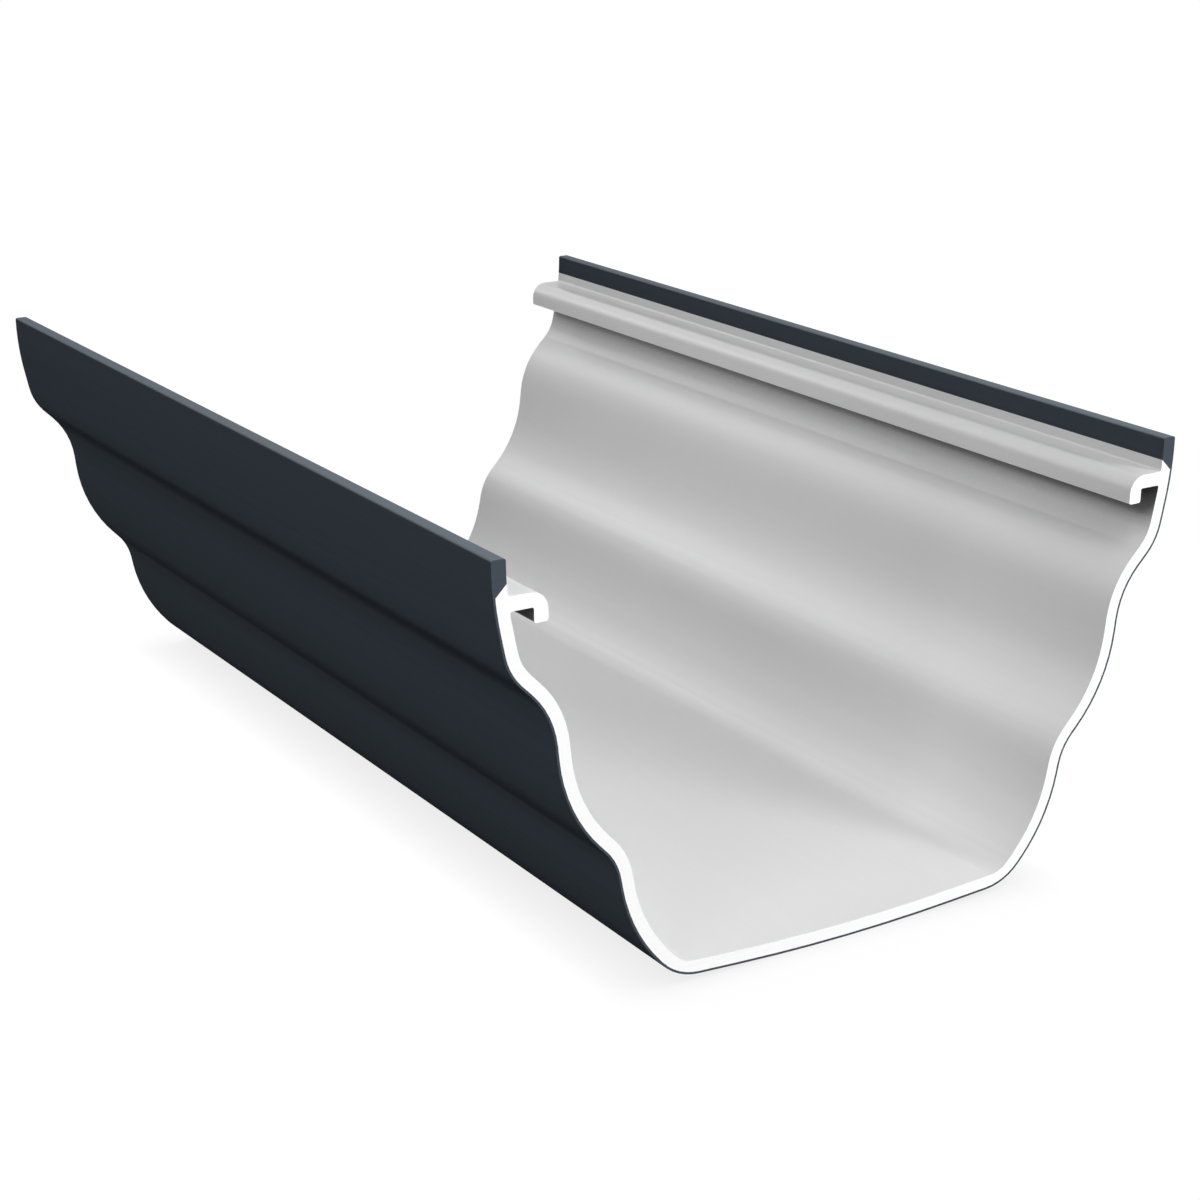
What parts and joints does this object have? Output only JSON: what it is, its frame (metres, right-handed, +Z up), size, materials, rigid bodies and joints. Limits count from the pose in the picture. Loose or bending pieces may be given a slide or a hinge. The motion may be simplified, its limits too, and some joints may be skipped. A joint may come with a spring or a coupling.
{
  "type": "gutter section",
  "caption": "Short length of stepped ogee eaves gutter in white plastic with an anthracite outer layer and rims, open at the top and both ends, with inward shelves and down-turned lips.",
  "frame": {"origin": "under the lowest line of the bottom, at the middle of the length and the width", "axes": "+Y along the gutter from the end nearer the camera to the far end, +X across it, +Z up through the open top"},
  "size_m": [0.135, 0.2, 0.077],
  "materials": {
    "white_plastic": "satin",
    "anthracite_plastic": "satin"
  },
  "bodies": {
    "root": {"white_channel": "white_plastic", "anthracite_skin": "anthracite_plastic"}
  },
  "joints": []
}
